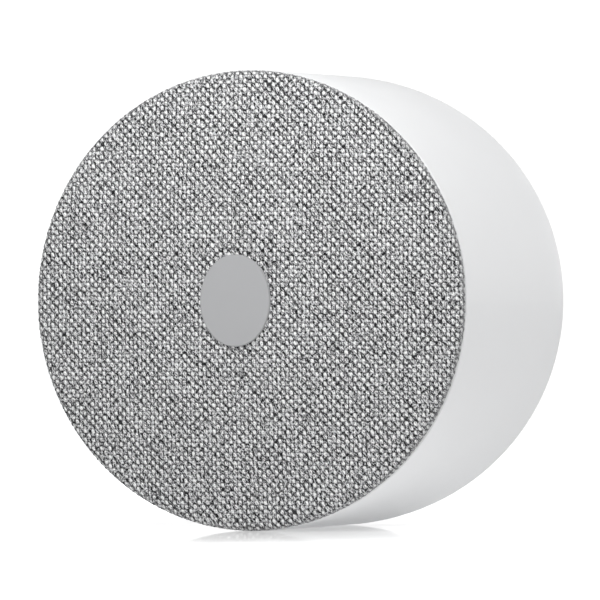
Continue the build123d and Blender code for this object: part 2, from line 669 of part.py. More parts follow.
with BuildPart() as speaker_leads:
    for side in (-1, 1):
        with BuildLine() as lead_route:
            FilletPolyline(
                (side * LEAD_SPACING / 2, -(TOP_PLATE_FRONT - TERMINAL_THICKNESS), 20.9),
                (side * LEAD_SPACING / 2, -37.2, 22.0),
                (side * LEAD_SPACING / 2, -33.8, 23.0),
                (side * LEAD_SPACING / 2, -CONNECTOR_FRONT, CONNECTOR_Z),
                radius=3,
            )
        with BuildSketch(Plane(lead_route.line @ 0, z_dir=lead_route.line % 0)):
            Circle(LEAD_R)
        sweep(path=lead_route.line)
    split(bisect_by=Plane.XZ.offset(TOP_PLATE_FRONT - TERMINAL_THICKNESS), keep=Keep.BOTTOM)
    split(bisect_by=Plane.XZ.offset(CONNECTOR_FRONT), keep=Keep.TOP)
speaker_leads.part.label = "speaker_leads"
export_step(speaker_leads.part, "parts/speaker_leads.step")

# ---------------------------------------------------------------- main board and its pieces
SHIELD_WIDTH = 20.0
SHIELD_HEIGHT = 16.0
SHIELD_DEPTH = 1.9
SHIELD_METAL = 0.2
CHIP_SIDE = 10.0
CHIP_THICKNESS = 1.1
AMPLIFIER_SIDE = 5.0
AMPLIFIER_THICKNESS = 0.9
AMPLIFIER_POINT = (13.5, 14.0)
LED_WIDTH = 2.0
LED_HEIGHT = 1.25
LED_THICKNESS = 0.8
PAD_WIDTH = 16.0
PAD_HEIGHT = 14.0
PAD_THICKNESS = 0.8
SPREADER_WIDTH = 34.0
SPREADER_HEIGHT = 26.0
SPREADER_THICKNESS = 1.5
SHEET_THICKNESS = 0.3
SHEET_R = 28.0
HEADER_Z = -20.0
HEADER_WIDTH = 10.0
HEADER_HEIGHT = 4.0
HEADER_GAP = 1.0
SPREADER_REAR = MAIN_BOARD - PAD_THICKNESS - SPREADER_THICKNESS
SHEET_REAR = SPREADER_REAR - SHEET_THICKNESS

with BuildPart() as main_board:
    with BuildSketch(level(MAIN_BOARD)):
        Circle(BOARD_R)
        with Locations(*COLUMN_POINTS):
            Circle(BOARD_NOTCH_R, mode=Mode.SUBTRACT)
        with Locations(*LEG_POINTS):
            Circle(SCREW_CLEARANCE_R, mode=Mode.SUBTRACT)
    extrude(amount=MAIN_BOARD_THICKNESS)
main_board.part.label = "main_board"
export_step(main_board.part, "parts/main_board.step")

BOARD_SCREW_LENGTH = 8.0
board_screws = pan_head_screws(MAIN_BOARD, LEG_POINTS, -1, BOARD_SCREW_LENGTH)
board_screws.part.label = "board_screws"
export_step(board_screws.part, "parts/board_screws.step")

with BuildPart() as wifi_chip:
    with BuildSketch(level(MAIN_BOARD_FRONT)):
        Rectangle(CHIP_SIDE, CHIP_SIDE)
    extrude(amount=CHIP_THICKNESS)
    chamfer(wifi_chip.faces().sort_by(Axis.Y)[0].edges(), length=0.15)
wifi_chip.part.label = "wifi_chip"
export_step(wifi_chip.part, "parts/wifi_chip.step")

with BuildPart() as rf_shield:
    with BuildSketch(level(MAIN_BOARD_FRONT)):
        RectangleRounded(SHIELD_WIDTH, SHIELD_HEIGHT, 1.0)
    extrude(amount=SHIELD_DEPTH)
    with BuildSketch(level(MAIN_BOARD_FRONT)):
        RectangleRounded(SHIELD_WIDTH - 2 * SHIELD_METAL, SHIELD_HEIGHT - 2 * SHIELD_METAL, 0.8)
    extrude(amount=SHIELD_DEPTH - SHIELD_METAL, mode=Mode.SUBTRACT)
rf_shield.part.label = "rf_shield"
export_step(rf_shield.part, "parts/rf_shield.step")

with BuildPart() as audio_amplifier:
    with BuildSketch(level(MAIN_BOARD_FRONT)):
        with Locations(AMPLIFIER_POINT):
            Rectangle(AMPLIFIER_SIDE, AMPLIFIER_SIDE)
    extrude(amount=AMPLIFIER_THICKNESS)
    chamfer(audio_amplifier.faces().sort_by(Axis.Y)[0].edges(), length=0.12)
audio_amplifier.part.label = "audio_amplifier"
export_step(audio_amplifier.part, "parts/audio_amplifier.step")

with BuildPart() as status_led:
    with BuildSketch(level(MAIN_BOARD_FRONT)):
        with Locations(LIGHT_PIPE_POINT):
            Rectangle(LED_WIDTH, LED_HEIGHT)
    extrude(amount=LED_THICKNESS)
status_led.part.label = "status_led"
export_step(status_led.part, "parts/status_led.step")

with BuildPart() as thermal_pad:
    with BuildSketch(level(MAIN_BOARD - PAD_THICKNESS)):
        Rectangle(PAD_WIDTH, PAD_HEIGHT)
    extrude(amount=PAD_THICKNESS)
thermal_pad.part.label = "thermal_pad"
export_step(thermal_pad.part, "parts/thermal_pad.step")

with BuildPart() as heat_spreader:
    with BuildSketch(level(SPREADER_REAR)):
        RectangleRounded(SPREADER_WIDTH, SPREADER_HEIGHT, 2)
    extrude(amount=SPREADER_THICKNESS)
heat_spreader.part.label = "heat_spreader"
export_step(heat_spreader.part, "parts/heat_spreader.step")

with BuildPart() as insulating_sheet:
    with BuildSketch(level(SHEET_REAR)):
        Circle(SHEET_R)
        with Locations(*COLUMN_POINTS):
            Circle(BOARD_NOTCH_R, mode=Mode.SUBTRACT)
        with Locations((0, HEADER_Z)):
            Rectangle(HEADER_WIDTH + 2 * HEADER_GAP, HEADER_HEIGHT + 2 * HEADER_GAP, mode=Mode.SUBTRACT)
    extrude(amount=SHEET_THICKNESS)
insulating_sheet.part.label = "insulating_sheet"
export_step(insulating_sheet.part, "parts/insulating_sheet.step")

with BuildPart() as power_header:
    with BuildSketch(level(POWER_BOARD_FRONT)):
        with Locations((0, HEADER_Z)):
            Rectangle(HEADER_WIDTH, HEADER_HEIGHT)
    extrude(amount=MAIN_BOARD - POWER_BOARD_FRONT)
    chamfer(power_header.edges().filter_by(Axis.Y), length=0.5)
power_header.part.label = "power_header"
export_step(power_header.part, "parts/power_header.step")

# ---------------------------------------------------------------- antennas and their leads
ANTENNA_REAR = 30.5
ANTENNA_FRONT = 46.0
ANTENNA_SLOT = 1.4
SLOT_LENGTH = 2 * ANTENNA_HALF_WIDTH - 3
SLOT_OFFSET = 1.5
FRONT_SLOT = ANTENNA_FRONT - 3
REAR_SLOT = ANTENNA_FRONT - 7
LEAD_DISTANCE = 31.8
SOCKET_X = 22.0
SOCKET_R = 1.4
SOCKET_HEIGHT = 1.4
for side, hand in ((-1, "left"), (1, "right")):
    with BuildPart() as antenna:
        with BuildSketch(Plane.YZ.offset(side * (ANTENNA_INNER_X + ANTENNA_THICKNESS / 2))):
            with Locations((-(ANTENNA_REAR + ANTENNA_FRONT) / 2, 0)):
                Rectangle(ANTENNA_FRONT - ANTENNA_REAR, 2 * ANTENNA_HALF_WIDTH)
            # the slots that leave a folded element beside the ground strip
            with Locations((-FRONT_SLOT, SLOT_OFFSET), (-REAR_SLOT, -SLOT_OFFSET)):
                Rectangle(ANTENNA_SLOT, SLOT_LENGTH, mode=Mode.SUBTRACT)
        extrude(amount=ANTENNA_THICKNESS / 2, both=True)
    antenna.part.label = f"antenna_{hand}"
    export_step(antenna.part, f"parts/antenna_{hand}.step")

    with BuildPart() as antenna_lead:
        with BuildSketch(level(MAIN_BOARD_FRONT)):
            with Locations((side * SOCKET_X, 0)):
                Circle(SOCKET_R)
        extrude(amount=SOCKET_HEIGHT)
        with BuildLine() as coax_route:
            FilletPolyline(
                (side * SOCKET_X, -(MAIN_BOARD_FRONT + SOCKET_HEIGHT / 2), 0),
                (side * (SOCKET_X + 4.5), -(MAIN_BOARD_FRONT + SOCKET_HEIGHT / 2 + 0.6), 0),
                (side * (ANTENNA_INNER_X - 3.5), -LEAD_DISTANCE, 0.8),
                (side * (ANTENNA_INNER_X - 0.05), -LEAD_DISTANCE, 1.0),
                radius=2,
            )
        with BuildSketch(Plane(coax_route.line @ 0, z_dir=coax_route.line % 0)):
            Circle(LEAD_R)
        sweep(path=coax_route.line)
    antenna_lead.part.label = f"antenna_lead_{hand}"
    export_step(antenna_lead.part, f"parts/antenna_lead_{hand}.step")

# ---------------------------------------------------------------- reset switch and button
SWITCH_WIDTH = 6.0
SWITCH_TOP_Z = -24.8
SWITCH_FACE_Z = -28.4
SWITCH_DEPTH = 3.2
PLUNGER_R = 0.9
PLUNGER_END_Z = -27.6
PLUNGER_BORE_END_Z = -26.7
STEM_R = 1.4
RETAINER_R = 3.6
RETAINER_Z = BUTTON_COLLAR_Z + 0.05
RETAINER_THICKNESS = 1.0

with BuildPart() as reset_switch:
    with BuildSketch(level(MAIN_BOARD_FRONT)):
        with Locations((0, (SWITCH_TOP_Z + SWITCH_FACE_Z) / 2)):
            Rectangle(SWITCH_WIDTH, SWITCH_TOP_Z - SWITCH_FACE_Z)
    extrude(amount=SWITCH_DEPTH)
    with BuildSketch(Plane.XY.offset(SWITCH_FACE_Z)):
        with Locations((0, -BUTTON_DISTANCE)):
            Circle(PLUNGER_R + 0.08)
    extrude(amount=PLUNGER_BORE_END_Z - SWITCH_FACE_Z, mode=Mode.SUBTRACT)
reset_switch.part.label = "reset_switch"
export_step(reset_switch.part, "parts/reset_switch.step")

with BuildPart() as reset_switch_plunger:
    with BuildSketch(Plane.XY.offset(BUTTON_INNER_Z)):
        with Locations((0, -BUTTON_DISTANCE)):
            Circle(PLUNGER_R)
    extrude(amount=PLUNGER_END_Z - BUTTON_INNER_Z)
reset_switch_plunger.part.label = "reset_switch_plunger"
export_step(reset_switch_plunger.part, "parts/reset_switch_plunger.step")

with BuildPart() as reset_button:
    with BuildSketch(Plane.XY.offset(BUTTON_FACE_Z)):
        with Locations((0, -BUTTON_DISTANCE)):
            Circle(BUTTON_R)
    extrude(amount=RETAINER_Z - BUTTON_FACE_Z)
    # slightly dished face, so a fingertip or a pen finds it
    with BuildSketch(Plane.XY.offset(BUTTON_FACE_Z)):
        with Locations((0, -BUTTON_DISTANCE)):
            Circle(BUTTON_R - 0.7)
    extrude(amount=0.25, taper=30, mode=Mode.SUBTRACT)
    fillet(reset_button.edges().group_by(Axis.Z)[0], radius=0.25)
    with BuildSketch(Plane.XY.offset(RETAINER_Z)):
        with Locations((0, -BUTTON_DISTANCE)):
            Circle(RETAINER_R)
    extrude(amount=RETAINER_THICKNESS)
    with BuildSketch(Plane.XY.offset(RETAINER_Z + RETAINER_THICKNESS)):
        with Locations((0, -BUTTON_DISTANCE)):
            Circle(STEM_R)
    extrude(amount=BUTTON_INNER_Z - RETAINER_Z - RETAINER_THICKNESS)
reset_button.part.label = "reset_button"
export_step(reset_button.part, "parts/reset_button.step")

# ---------------------------------------------------------------- power board and its pieces
with BuildPart() as power_board:
    with BuildSketch(level(POWER_BOARD)):
        Circle(BOARD_R)
        with Locations(*COLUMN_POINTS):
            Circle(BOARD_NOTCH_R, mode=Mode.SUBTRACT)
        with Locations(*POST_POINTS):
            Circle(SCREW_CLEARANCE_R, mode=Mode.SUBTRACT)
    extrude(amount=POWER_BOARD_THICKNESS)
power_board.part.label = "power_board"
export_step(power_board.part, "parts/power_board.step")

POWER_BOARD_SCREW_LENGTH = 6.0
power_board_screws = pan_head_screws(POWER_BOARD_FRONT, POST_POINTS, 1, POWER_BOARD_SCREW_LENGTH)
power_board_screws.part.label = "power_board_screws"
export_step(power_board_screws.part, "parts/power_board_screws.step")

TRANSFORMER_POINT = (10.0, 6.0)
BOBBIN_BASE = 1.2
WINDING_HEIGHT = 7.6
BOBBIN_TOP = 0.8
with BuildPart() as transformer:
    with BuildSketch(level(POWER_BOARD_FRONT)):
        with Locations(TRANSFORMER_POINT):
            Rectangle(16, 13)
    extrude(amount=BOBBIN_BASE)
    with BuildSketch(level(POWER_BOARD_FRONT + BOBBIN_BASE)):
        with Locations(TRANSFORMER_POINT):
            Rectangle(14, 8)
            RectangleRounded(8, 12, 2)
    extrude(amount=WINDING_HEIGHT)
    with BuildSketch(level(POWER_BOARD_FRONT + BOBBIN_BASE + WINDING_HEIGHT)):
        with Locations(TRANSFORMER_POINT):
            Rectangle(15, 10)
    extrude(amount=BOBBIN_TOP)
transformer.part.label = "transformer"
export_step(transformer.part, "parts/transformer.step")

BULK_POINTS = ((-11, 12), (-11, 2))
BULK_R = 4.0
BULK_HEIGHT = 10.0
with BuildPart() as bulk_capacitors:
    with BuildSketch(level(POWER_BOARD_FRONT)):
        with Locations(*BULK_POINTS):
            Circle(BULK_R)
    extrude(amount=BULK_HEIGHT)
    fillet(bulk_capacitors.faces().group_by(Axis.Y)[0].edges(), radius=0.5)
bulk_capacitors.part.label = "bulk_capacitors"
export_step(bulk_capacitors.part, "parts/bulk_capacitors.step")

OUTPUT_CAPACITOR_POINT = (12, -10)
OUTPUT_CAPACITOR_R = 3.15
OUTPUT_CAPACITOR_HEIGHT = 9.4
with BuildPart() as output_capacitor:
    with BuildSketch(level(POWER_BOARD_FRONT)):
        with Locations(OUTPUT_CAPACITOR_POINT):
            Circle(OUTPUT_CAPACITOR_R)
    extrude(amount=OUTPUT_CAPACITOR_HEIGHT)
    fillet(output_capacitor.faces().group_by(Axis.Y)[0].edges(), radius=0.4)
output_capacitor.part.label = "output_capacitor"
export_step(output_capacitor.part, "parts/output_capacitor.step")

FUSE_POINT = (-20, 0)
FUSE_R = 2.4
FUSE_HEIGHT = 6.5
with BuildPart() as fuse:
    with BuildSketch(level(POWER_BOARD_FRONT)):
        with Locations(FUSE_POINT):
            Circle(FUSE_R)
    extrude(amount=FUSE_HEIGHT)
    fillet(fuse.faces().sort_by(Axis.Y)[0].edges(), radius=0.5)
fuse.part.label = "fuse"
export_step(fuse.part, "parts/fuse.step")

RECTIFIER_POINT = (-12, -10)
RECTIFIER_THICKNESS = 2.4
with BuildPart() as bridge_rectifier:
    with BuildSketch(level(POWER_BOARD_FRONT)):
        with Locations(RECTIFIER_POINT):
            Rectangle(6.5, 5)
    extrude(amount=RECTIFIER_THICKNESS)
    chamfer(bridge_rectifier.faces().sort_by(Axis.Y)[0].edges(), length=0.3)
bridge_rectifier.part.label = "bridge_rectifier"
export_step(bridge_rectifier.part, "parts/bridge_rectifier.step")

# ---------------------------------------------------------------- plug base and blades
SLOT_GAP = 0.02
PLUG_BASE_EDGE = 0.3
PLUG_EAR_WIDTH = 7.0
BLADE_CORNER = 1.2
BLADE_TIP_BEVEL = 0.35
BLADES = (
    ("line", BLADE_SPACING / 2, LINE_BLADE_WIDTH),
    ("neutral", -BLADE_SPACING / 2, NEUTRAL_BLADE_WIDTH),
)

with BuildPart() as plug_base:
    with BuildSketch(level(0)):
        Circle(PLUG_BASE_R)
    extrude(amount=PLUG_BASE_SEAT)
    chamfer(plug_base.edges().group_by(Axis.Y)[-1], length=PLUG_BASE_EDGE)
    with BuildSketch(level(PLUG_BASE_SEAT)):
        Circle(PLUG_BASE_R)
        SlotCenterToCenter(2 * PLUG_SCREW_Z, PLUG_EAR_WIDTH, rotation=90)
    extrude(amount=PLUG_EAR_THICKNESS)
    with BuildSketch(level(PLUG_BASE_SEAT)):
        with Locations(*PLUG_SCREW_POINTS):
            Circle(SCREW_CLEARANCE_R)
    extrude(amount=PLUG_EAR_THICKNESS, mode=Mode.SUBTRACT)
    with BuildSketch(level(0)):
        for blade_name, x, width in BLADES:
            with Locations((x, 0)):
                Rectangle(BLADE_THICKNESS + 2 * SLOT_GAP, width + 2 * SLOT_GAP)
    extrude(amount=PLUG_BASE_SEAT + PLUG_EAR_THICKNESS, mode=Mode.SUBTRACT)
plug_base.part.label = "plug_base"
export_step(plug_base.part, "parts/plug_base.step")

PLUG_SCREW_LENGTH = 5.0
plug_base_screws = pan_head_screws(PLUG_BASE_SEAT + PLUG_EAR_THICKNESS, PLUG_SCREW_POINTS, 1, PLUG_SCREW_LENGTH)
plug_base_screws.part.label = "plug_base_screws"
export_step(plug_base_screws.part, "parts/plug_base_screws.step")

for blade_name, x, width in BLADES:
    with BuildPart() as blade:
        with BuildSketch(Plane.YZ.offset(x)):
            with Locations(((BLADE_LENGTH - BLADE_TAIL) / 2, 0)):
                Rectangle(BLADE_LENGTH + BLADE_TAIL, width)
            with Locations((BLADE_HOLE_DISTANCE, 0)):
                Circle(BLADE_HOLE_R, mode=Mode.SUBTRACT)
        extrude(amount=BLADE_THICKNESS / 2, both=True)
        chamfer(blade.edges().filter_by(Axis.X).group_by(Axis.Y)[-1], length=BLADE_CORNER)
        chamfer(blade.faces().sort_by(Axis.Y)[-1].edges().filter_by(Axis.Z), length=BLADE_TIP_BEVEL)
    blade.part.label = f"plug_blade_{blade_name}"
    export_step(blade.part, f"parts/plug_blade_{blade_name}.step")

# spring clips soldered under the power board, one leaf on each side of a blade's tail
CLIP_METAL = 0.4
CLIP_HALF_HEIGHT = 2.0
CLIP_REAR = PLUG_BASE_SEAT + PLUG_EAR_THICKNESS + 0.4
CLIP_INNER = BLADE_THICKNESS / 2 + SLOT_GAP
with BuildPart() as blade_contacts:
    for side in (-1, 1):
        with BuildSketch(level(CLIP_REAR)):
            for leaf in (-1, 1):
                with Locations((side * BLADE_SPACING / 2 + leaf * (CLIP_INNER + CLIP_METAL / 2), 0)):
                    Rectangle(CLIP_METAL, 2 * CLIP_HALF_HEIGHT)
        extrude(amount=POWER_BOARD - CLIP_REAR)
        with BuildSketch(level(POWER_BOARD - CLIP_METAL)):
            with Locations((side * BLADE_SPACING / 2, 0)):
                Rectangle(2 * (CLIP_INNER + CLIP_METAL), 2 * CLIP_HALF_HEIGHT)
        extrude(amount=CLIP_METAL)
blade_contacts.part.label = "blade_contacts"
export_step(blade_contacts.part, "parts/blade_contacts.step")
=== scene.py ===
"""Looks of a round plug-in wireless node: satin white shell, stretched melange cloth front, oval badge.

Lengths are in metres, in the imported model's frame: the drum stands out from the wall along -Y and
+Z is up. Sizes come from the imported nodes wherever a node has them.
"""
import math

import bpy
import numpy as np
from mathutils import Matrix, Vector


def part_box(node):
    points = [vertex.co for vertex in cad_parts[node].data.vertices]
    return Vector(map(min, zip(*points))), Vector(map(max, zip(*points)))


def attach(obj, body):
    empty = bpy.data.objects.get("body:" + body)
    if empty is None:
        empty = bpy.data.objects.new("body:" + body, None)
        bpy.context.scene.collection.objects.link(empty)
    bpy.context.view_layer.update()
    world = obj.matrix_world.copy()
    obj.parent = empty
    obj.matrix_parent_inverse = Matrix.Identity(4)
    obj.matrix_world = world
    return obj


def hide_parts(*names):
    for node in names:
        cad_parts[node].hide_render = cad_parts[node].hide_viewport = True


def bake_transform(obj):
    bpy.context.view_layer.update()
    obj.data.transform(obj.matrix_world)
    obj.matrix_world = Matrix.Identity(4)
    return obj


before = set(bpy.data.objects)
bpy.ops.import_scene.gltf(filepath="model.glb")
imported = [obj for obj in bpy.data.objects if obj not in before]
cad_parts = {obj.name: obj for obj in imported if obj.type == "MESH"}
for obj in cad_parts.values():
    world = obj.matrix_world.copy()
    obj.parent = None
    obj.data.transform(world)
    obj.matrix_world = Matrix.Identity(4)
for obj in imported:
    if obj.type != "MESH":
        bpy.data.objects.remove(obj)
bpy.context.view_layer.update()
MM = 0.001

# ---------------------------------------------------------------- sizes read from the frame
CLOTH_LOW, CLOTH_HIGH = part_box("grille_fabric")
DRUM_R = CLOTH_HIGH.x
CLOTH_APEX = -CLOTH_LOW.y            # distance of the crown from the wall
LIP_REAR = -CLOTH_HIGH.y             # where the cloth's side ends, at the shell's front edge
CROWN_HEIGHT = 1.8 * MM
RIM_ROUND = 1.2 * MM
LIP_ROUND = 0.25 * MM
LIP_LENGTH = 1.7 * MM
CROWN_R = (DRUM_R**2 + CROWN_HEIGHT**2) / (2 * CROWN_HEIGHT)
FLOOR_Z = CLOTH_LOW.z

# ---------------------------------------------------------------- camera
CAMERA_AZIMUTH = math.radians(21.654)
CAMERA_DISTANCE = 1317.33 * MM
CAMERA_SIDESTEP = 8.69 * MM
CAMERA_RISE = 0.085 * MM
CAMERA_LENS = 480.0
CAMERA_SENSOR = 36.0


def make_camera():
    """Long lens at eye level, round to the drum's right, aimed across the front rim's centre."""
    back = Vector((math.sin(CAMERA_AZIMUTH), -math.cos(CAMERA_AZIMUTH), 0))
    right = Vector((math.cos(CAMERA_AZIMUTH), math.sin(CAMERA_AZIMUTH), 0))
    rim_centre = Vector((0, -(CLOTH_APEX - CROWN_HEIGHT), 0))
    data = bpy.data.cameras.new("camera")
    data.lens = CAMERA_LENS
    data.sensor_width = CAMERA_SENSOR
    data.clip_end = 20
    camera = bpy.data.objects.new("camera", data)
    bpy.context.scene.collection.objects.link(camera)
    rise = Vector((0, 0, CAMERA_RISE))
    camera.location = rim_centre + back * CAMERA_DISTANCE + right * CAMERA_SIDESTEP + rise
    camera.rotation_euler = (-back).to_track_quat("-Z", "Y").to_euler()
    bpy.context.scene.camera = camera


# ---------------------------------------------------------------- node helpers
class Graph:
    """Builds shader nodes from plain calls. A value is a number, a colour or a node's output."""

    def __init__(self, tree):
        self.tree = tree

    def node(self, kind, **settings):
        made = self.tree.nodes.new(kind)
        for key, value in settings.items():
            setattr(made, key, value)
        return made

    def put(self, socket, value):
        if isinstance(value, bpy.types.NodeSocket):
            self.tree.links.new(value, socket)
        elif isinstance(value, (tuple, list)) and len(value) == 3 and socket.type == "RGBA":
            socket.default_value = (*value, 1.0)
        else:
            socket.default_value = value

    def math(self, operation, *values, clamp=False):
        made = self.node("ShaderNodeMath", operation=operation, use_clamp=clamp)
        for socket, value in zip(made.inputs, values):
            self.put(socket, value)
        return made.outputs[0]

    def add(self, a, b):
        return self.math("ADD", a, b)

    def sub(self, a, b):
        return self.math("SUBTRACT", a, b)

    def mul(self, a, b):
        return self.math("MULTIPLY", a, b)

    def combine(self, x, y, z=0.0):
        made = self.node("ShaderNodeCombineXYZ")
        for socket, value in zip(made.inputs, (x, y, z)):
            self.put(socket, value)
        return made.outputs[0]

    def split(self, vector):
        made = self.node("ShaderNodeSeparateXYZ")
        self.put(made.inputs[0], vector)
        return made.outputs

    def ramp(self, value, low, high, to_low=0.0, to_high=1.0, smooth=True):
        made = self.node("ShaderNodeMapRange", clamp=True)
        if smooth:
            made.interpolation_type = "SMOOTHSTEP"
        for name, x in (("Value", value), ("From Min", low), ("From Max", high),
                        ("To Min", to_low), ("To Max", to_high)):
            self.put(made.inputs[name], x)
        return made.outputs[0]

    def mix(self, factor, a, b):
        made = self.node("ShaderNodeMix", data_type="RGBA")
        self.put(made.inputs["Factor"], factor)
        self.put(made.inputs[6], a)
        self.put(made.inputs[7], b)
        return made.outputs[2]

    def blend(self, factor, a, b):
        made = self.node("ShaderNodeMix", data_type="FLOAT")
        self.put(made.inputs["Factor"], factor)
        self.put(made.inputs[2], a)
        self.put(made.inputs[3], b)
        return made.outputs[0]

    def noise(self, vector, scale, detail=2.0, roughness=0.5):
        made = self.node("ShaderNodeTexNoise")
        self.put(made.inputs["Vector"], vector)
        self.put(made.inputs["Scale"], scale)
        self.put(made.inputs["Detail"], detail)
        self.put(made.inputs["Roughness"], roughness)
        return made.outputs["Fac"]

    def random(self, vector):
        made = self.node("ShaderNodeTexWhiteNoise", noise_dimensions="3D")
        self.put(made.inputs["Vector"], vector)
        return made.outputs["Value"]

    def place(self):
        return self.node("ShaderNodeTexCoord").outputs["Object"]

    def bump(self, height, strength, distance):
        made = self.node("ShaderNodeBump")
        self.put(made.inputs["Strength"], strength)
        self.put(made.inputs["Distance"], distance)
        self.put(made.inputs["Height"], height)
        return made.outputs[0]


def new_material(name):
    """A material with one Principled shader, and the graph to feed it."""
    material = bpy.data.materials.new(name)
    material.use_nodes = True
    tree = material.node_tree
    shader = next(n for n in tree.nodes if n.type == "BSDF_PRINCIPLED")
    return material, Graph(tree), shader


def moulded(name, colour, roughness=0.4, grain=0.35, grain_depth=0.02, tone=0.03, specular=0.5):
    """Moulded plastic: a fine spark-eroded grain, and a faint drift of tone and gloss."""
    material, g, shader = new_material(name)
    place = g.place()
    drift = g.noise(place, 60.0, 3.0)
    dark = tuple(c * (1 - tone) for c in colour)
    light = tuple(min(1.0, c * (1 + tone)) for c in colour)
    g.put(shader.inputs["Base Color"], g.mix(drift, dark, light))
    gloss = g.noise(place, 140.0, 2.0)
    g.put(shader.inputs["Roughness"], g.ramp(gloss, 0.2, 0.8, roughness - 0.04, roughness + 0.04))
    fine = g.noise(place, 1000.0 / grain, 2.0, 0.6)
    g.put(shader.inputs["Normal"], g.bump(fine, 0.25, grain_depth * MM))
    shader.inputs["Specular IOR Level"].default_value = specular
    return material


def rolled_metal(name, colour, roughness=0.28, along=(1, 1, 1), scratch=0.04):
    """Rolled or plated metal, with drawn lines stretched along one direction."""
    material, g, shader = new_material(name)
    place = g.place()
    stretch = g.node("ShaderNodeMapping")
    g.put(stretch.inputs["Vector"], place)
    stretch.inputs["Scale"].default_value = along
    lines = g.noise(stretch.outputs[0], 2600.0, 4.0, 0.6)
    cloudy = g.noise(place, 180.0, 3.0)
    dark = tuple(c * 0.86 for c in colour)
    g.put(shader.inputs["Base Color"], g.mix(cloudy, dark, colour))
    g.put(shader.inputs["Roughness"], g.ramp(lines, 0.25, 0.75, roughness - 0.08, roughness + 0.1))
    g.put(shader.inputs["Normal"], g.bump(lines, 0.2, scratch * MM))
    shader.inputs["Metallic"].default_value = 1.0
    return material


def elastic(name, colour, roughness=0.7, cell=0.5):
    """Rubber, foam or soft pad: matt, with a fine cellular surface."""
    material, g, shader = new_material(name)
    place = g.place()
    cells = g.node("ShaderNodeTexVoronoi", feature="SMOOTH_F1")
    g.put(cells.inputs["Vector"], place)
    cells.inputs["Scale"].default_value = 1000.0 / cell
    light = tuple(min(1.0, c * 1.3 + 0.01) for c in colour)
    g.put(shader.inputs["Base Color"], g.mix(g.noise(place, 300.0, 3.0), colour, light))
    g.put(shader.inputs["Normal"], g.bump(cells.outputs["Distance"], 0.4, 0.05 * MM))
    sheen = g.ramp(cells.outputs["Distance"], 0, 1, roughness - 0.08, roughness + 0.08)
    g.put(shader.inputs["Roughness"], sheen)
    return material


def circuit_board(name, mask, copper):
    """Solder mask over copper: broken tracks on a square grid, seen as slightly lighter relief."""
    material, g, shader = new_material(name)
    x, y, z = g.split(g.place())
    pitch = 1.3 * MM
    column = g.math("FLOOR", g.math("DIVIDE", x, pitch))
    row = g.math("FLOOR", g.math("DIVIDE", z, pitch))
    across = g.math("ABSOLUTE", g.sub(g.math("FRACT", g.math("DIVIDE", x, pitch)), 0.5))
    up = g.math("ABSOLUTE", g.sub(g.math("FRACT", g.math("DIVIDE", z, pitch)), 0.5))
    turn = g.math("GREATER_THAN", g.random(g.combine(column, row, 1.0)), 0.5)
    line = g.blend(turn, across, up)
    kept = g.math("GREATER_THAN", g.random(g.combine(column, row, 7.0)), 0.35)
    track = g.mul(g.ramp(line, 0.16, 0.10), kept)
    pad = g.ramp(g.math("SQRT", g.add(g.mul(across, across), g.mul(up, up))), 0.16, 0.12)
    joint = g.mul(pad, g.math("GREATER_THAN", g.random(g.combine(column, row, 3.0)), 0.86))
    under = g.mix(track, mask, copper)
    g.put(shader.inputs["Base Color"], g.mix(joint, under, (0.75, 0.74, 0.70)))
    g.put(shader.inputs["Metallic"], joint)
    g.put(shader.inputs["Normal"], g.bump(g.add(track, joint), 0.5, 0.04 * MM))
    g.put(shader.inputs["Roughness"], g.blend(joint, 0.32, 0.2))
    return material


# ---------------------------------------------------------------- the cloth's weave
THREAD_PITCH = 0.733 * MM
YARN_RISE = 0.20          # in pitches: how far a yarn's centre line rises and dips
WARP_R = 0.40             # in pitches: half an upright yarn's width
WEFT_R = 0.50             # in pitches: half a level yarn's width
YARN_FLAT = 0.55          # a yarn's height as a share of its width
SLANT = 0.18              # lean of the upright yarns' floats, from their twist
TAPER = 0.30              # how much an upright float narrows towards its top
GROOVE = 0.04             # in pitches: depth of the twist's groove across a level float
GROOVE_WIDTH = 0.34       # in pitches
WEAVE_LEVEL = 0.27        # in pitches: the height that lies on the cloth's nominal surface
FIBRE_ACROSS = 3.4        # fibres counted across their run, per pitch
FIBRE_ALONG = 1.5         # and along it
FIBRE_LEAN = math.radians(32)
FIBRE_COS = math.cos(FIBRE_LEAN)
FIBRE_SIN = math.sin(FIBRE_LEAN)


def weave_height(across, up):
    """Height of the plain weave in pitches, for positions in pitches."""
    column = np.floor(across)
    row = np.floor(up)
    v = (up - 0.5 + column + 1) % 2 - 1
    u = (across + 0.5 + row + 1) % 2 - 1
    s = across - column - 0.5 + SLANT * v
    t = up - row - 0.5
    warp_r = WARP_R * (1 - TAPER * v)
    warp = YARN_RISE * np.cos(np.pi * v) + YARN_FLAT * np.sqrt(np.maximum(0, warp_r**2 - s**2))
    groove = np.abs((across + up + 1) % 2 - 1) / GROOVE_WIDTH
    weft = YARN_RISE * np.cos(np.pi * u) + YARN_FLAT * np.sqrt(np.maximum(0, WEFT_R**2 - t**2))
    weft -= GROOVE * np.maximum(0, 1 - groove)
    return np.maximum(warp, weft)


